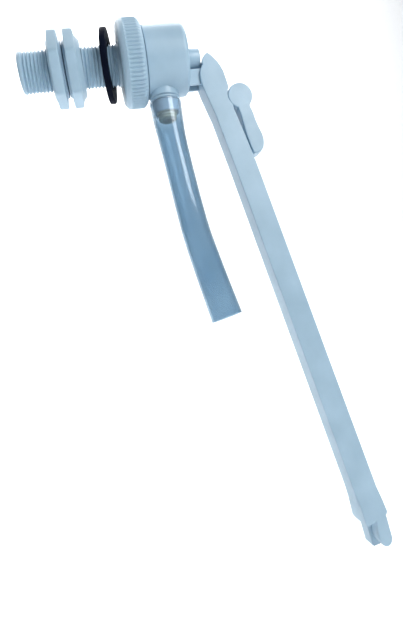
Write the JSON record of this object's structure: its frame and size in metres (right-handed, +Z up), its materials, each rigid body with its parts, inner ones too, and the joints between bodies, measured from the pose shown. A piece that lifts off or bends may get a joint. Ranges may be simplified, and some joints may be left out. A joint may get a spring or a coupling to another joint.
{
  "type": "float valve",
  "caption": "Side-inlet plastic float valve: threaded shank with back nuts, knurled union, barrel with hanging lever, bottom outlet and flexible hush tube.",
  "frame": {"origin": "on the inlet shank's axis, at the plane where the tank wall meets the sealing washer", "axes": "+X along the shank axis from the supply end towards the lever, +Z up, the pictured side faces -Y"},
  "size_m": [0.1582, 0.0446, 0.3086],
  "materials": {
    "white_plastic": "moulded, slightly scuffed",
    "grey_plastic": "moulded",
    "black_rubber": "matt",
    "brass": "turned",
    "cream_plastic": "moulded, ridged",
    "clear_tube": "clear flexible tube",
    "steel": "drawn"
  },
  "bodies": {
    "valve": {"inlet_shank": "white_plastic", "inlet_strainer": "grey_plastic", "seat_nozzle": "white_plastic", "flange_gasket": "black_rubber", "union_collar": "white_plastic", "valve_body": "white_plastic", "outlet_spigot": "cream_plastic", "outlet_ring": "white_plastic", "hush_tube": "clear_tube", "pivot_pin": "brass", "pivot_clip": "steel"},
    "piston": {"piston": "white_plastic", "piston_seal": "black_rubber", "seal_retainer": "grey_plastic", "piston_ring": "black_rubber"},
    "lever": {"float_lever": "white_plastic", "thumb_pin": "steel"},
    "thumb": {"thumb_lever": "white_plastic"},
    "outer_nut": {"outer_back_nut": "white_plastic"},
    "inner_nut": {"inner_back_nut": "white_plastic"},
    "washer": {"tank_washer": "black_rubber"}
  },
  "joints": [
    {"name": "lever_swing", "type": "hinge", "parent": "valve", "child": "lever", "pos_m": [0.0549, 0, -0.0115], "axis": [0, -1, 0], "range_deg": [0, 60]},
    {"name": "piston_slide", "type": "slide", "parent": "valve", "child": "piston", "axis": [-1, 0, 0], "range_m": [0, 0.007]},
    {"name": "thumb_swing", "type": "hinge", "parent": "lever", "child": "thumb", "pos_m": [0.0705, 0, -0.024], "axis": [0, -1, 0], "range_deg": [0, 80]},
    {"name": "outer_nut_travel", "type": "slide", "parent": "valve", "child": "outer_nut", "axis": [-1, 0, 0], "range_m": [0, 0.012]},
    {"name": "inner_nut_travel", "type": "slide", "parent": "valve", "child": "inner_nut", "axis": [1, 0, 0], "range_m": [0, 0.006]},
    {"name": "washer_travel", "type": "slide", "parent": "valve", "child": "washer", "axis": [1, 0, 0], "range_m": [-0.0028, 0.0015]}
  ],
  "couplings": [
    {"joint": "piston_slide", "follows": "lever_swing", "m_per_rad": 0.0066}
  ]
}
